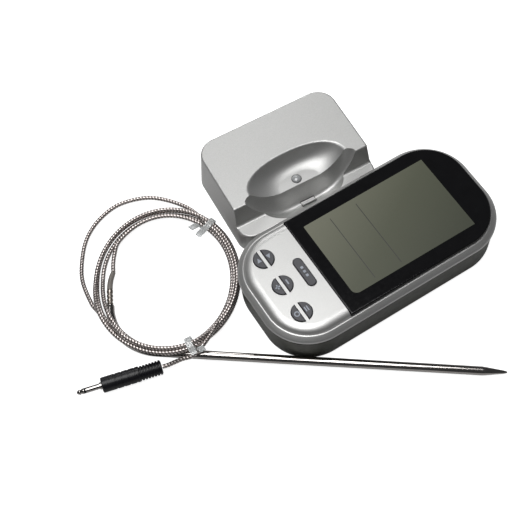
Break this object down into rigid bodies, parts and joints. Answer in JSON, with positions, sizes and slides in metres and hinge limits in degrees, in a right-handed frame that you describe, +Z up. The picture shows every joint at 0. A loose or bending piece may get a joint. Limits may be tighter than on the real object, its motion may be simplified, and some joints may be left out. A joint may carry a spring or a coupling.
{
  "type": "meat thermometer",
  "caption": "Wireless meat thermometer: a handheld display with split round keys, a countertop dock with a scooped cradle, and a steel probe on a coiled braided lead with a jack plug.",
  "frame": {"origin": "on the table, in the middle of the strip of the dock's flat underside in front of its battery door", "axes": "+X along the dock's width to the right, +Y from the dock's front to its back, +Z up"},
  "size_m": [0.2054, 0.1647, 0.024],
  "materials": {
    "silver_shell": "satin silver paint over moulded plastic",
    "dock_silver": "satin silver-grey moulding",
    "olive_shell": "fine satin, dark olive grey",
    "black_lens": "high gloss",
    "lcd": "grey-olive liquid crystal glass",
    "key_rubber": "satin dark grey",
    "soft_rubber": "matte silicone",
    "board": "solder-masked board",
    "black_plastic": "satin black",
    "clear_plastic": "clear, glossy",
    "cell_jacket": "plain printed jacket",
    "spring_steel": "nickel plated",
    "copper_wire": "enamelled wire",
    "screw_steel": "zinc plated",
    "switch_can": "tinned",
    "probe_steel": "polished stainless steel",
    "crimp_steel": "pressed stainless steel",
    "braid": "woven stainless steel braid",
    "sleeve": "heat-shrunk sleeve",
    "plug_black": "moulded, satin",
    "tie_clear": "clear strip",
    "sensor_bead": "glass-coated bead"
  },
  "bodies": {
    "dock": {"dock_shell": "dock_silver", "dock_base": "olive_shell", "dock_cell_front": "cell_jacket", "dock_cell_back": "cell_jacket", "dock_spring_front": "spring_steel", "dock_spring_back": "spring_steel", "dock_contact_left": "spring_steel", "dock_contact_right": "spring_steel", "dock_board": "board", "status_light": "clear_plastic", "jack_socket": "black_plastic", "dock_aerial": "copper_wire", "cradle_catch": "dock_silver", "switch_body": "switch_can", "dock_screw_1": "screw_steel", "dock_screw_2": "screw_steel"},
    "dock_door": {"dock_battery_door": "olive_shell"},
    "dock_switch": {"switch_knob": "black_plastic"},
    "receiver": {"front_casing": "silver_shell", "lens_panel": "black_lens", "lcd_glass": "lcd", "zebra_strip_front": "soft_rubber", "zebra_strip_back": "soft_rubber", "keypad_mat": "soft_rubber", "main_board": "board", "sounder": "black_plastic", "receiver_aerial": "copper_wire", "back_casing": "olive_shell", "battery_tray": "black_plastic", "receiver_cell_front": "cell_jacket", "receiver_cell_back": "cell_jacket", "receiver_spring_front": "spring_steel", "receiver_spring_back": "spring_steel", "receiver_contact_left": "spring_steel", "receiver_contact_right": "spring_steel", "receiver_screw_1": "screw_steel", "receiver_screw_2": "screw_steel", "receiver_screw_3": "screw_steel"},
    "receiver_door": {"receiver_battery_door": "olive_shell"},
    "probe_lead": {"probe_tube": "probe_steel", "thermistor": "sensor_bead", "crimp_ferrule": "crimp_steel", "strain_sleeve": "sleeve", "cable_coil": "braid", "cable_outer_loop": "braid", "cable_tail": "braid", "tie_back": "tie_clear", "tie_front": "tie_clear", "plug_body": "plug_black", "plug_sleeve": "probe_steel", "plug_insulator": "black_plastic", "plug_tip": "probe_steel"},
    "key_upper_left_cap": {"key_upper_left": "key_rubber"},
    "key_upper_right_cap": {"key_upper_right": "key_rubber"},
    "key_middle_left_cap": {"key_middle_left": "key_rubber"},
    "key_middle_right_cap": {"key_middle_right": "key_rubber"},
    "key_lower_left_cap": {"key_lower_left": "key_rubber"},
    "key_lower_right_cap": {"key_lower_right": "key_rubber"},
    "key_mode_cap": {"key_mode": "key_rubber"}
  },
  "joints": [
    {"name": "receiver_lift", "type": "slide", "parent": "dock", "child": "receiver", "axis": [0, 0, 1], "range_m": [0, 0.06]},
    {"name": "lead_lift", "type": "slide", "parent": "dock", "child": "probe_lead", "axis": [-0.2981, -0.1, 0.9493], "range_m": [0, 0.06]},
    {"name": "dock_door_slide", "type": "slide", "parent": "dock", "child": "dock_door", "axis": [0, 1, 0], "range_m": [0, 0.028]},
    {"name": "power_switch", "type": "slide", "parent": "dock", "child": "dock_switch", "axis": [0, 1, 0], "range_m": [-0.0015, 0.0015]},
    {"name": "receiver_door_slide", "type": "slide", "parent": "receiver", "child": "receiver_door", "axis": [0.9981, 0.0616, 0], "range_m": [0, 0.05]},
    {"name": "key_upper_left_press", "type": "slide", "parent": "receiver", "child": "key_upper_left_cap", "axis": [0, 0, -1], "range_m": [0, 0.0008], "stiffness_N_per_m": 350},
    {"name": "key_upper_right_press", "type": "slide", "parent": "receiver", "child": "key_upper_right_cap", "axis": [0, 0, -1], "range_m": [0, 0.0008], "stiffness_N_per_m": 350},
    {"name": "key_middle_left_press", "type": "slide", "parent": "receiver", "child": "key_middle_left_cap", "axis": [0, 0, -1], "range_m": [0, 0.0008], "stiffness_N_per_m": 350},
    {"name": "key_middle_right_press", "type": "slide", "parent": "receiver", "child": "key_middle_right_cap", "axis": [0, 0, -1], "range_m": [0, 0.0008], "stiffness_N_per_m": 350},
    {"name": "key_lower_left_press", "type": "slide", "parent": "receiver", "child": "key_lower_left_cap", "axis": [0, 0, -1], "range_m": [0, 0.0008], "stiffness_N_per_m": 350},
    {"name": "key_lower_right_press", "type": "slide", "parent": "receiver", "child": "key_lower_right_cap", "axis": [0, 0, -1], "range_m": [0, 0.0008], "stiffness_N_per_m": 350},
    {"name": "key_mode_press", "type": "slide", "parent": "receiver", "child": "key_mode_cap", "axis": [0, 0, -1], "range_m": [0, 0.0008], "stiffness_N_per_m": 350}
  ]
}
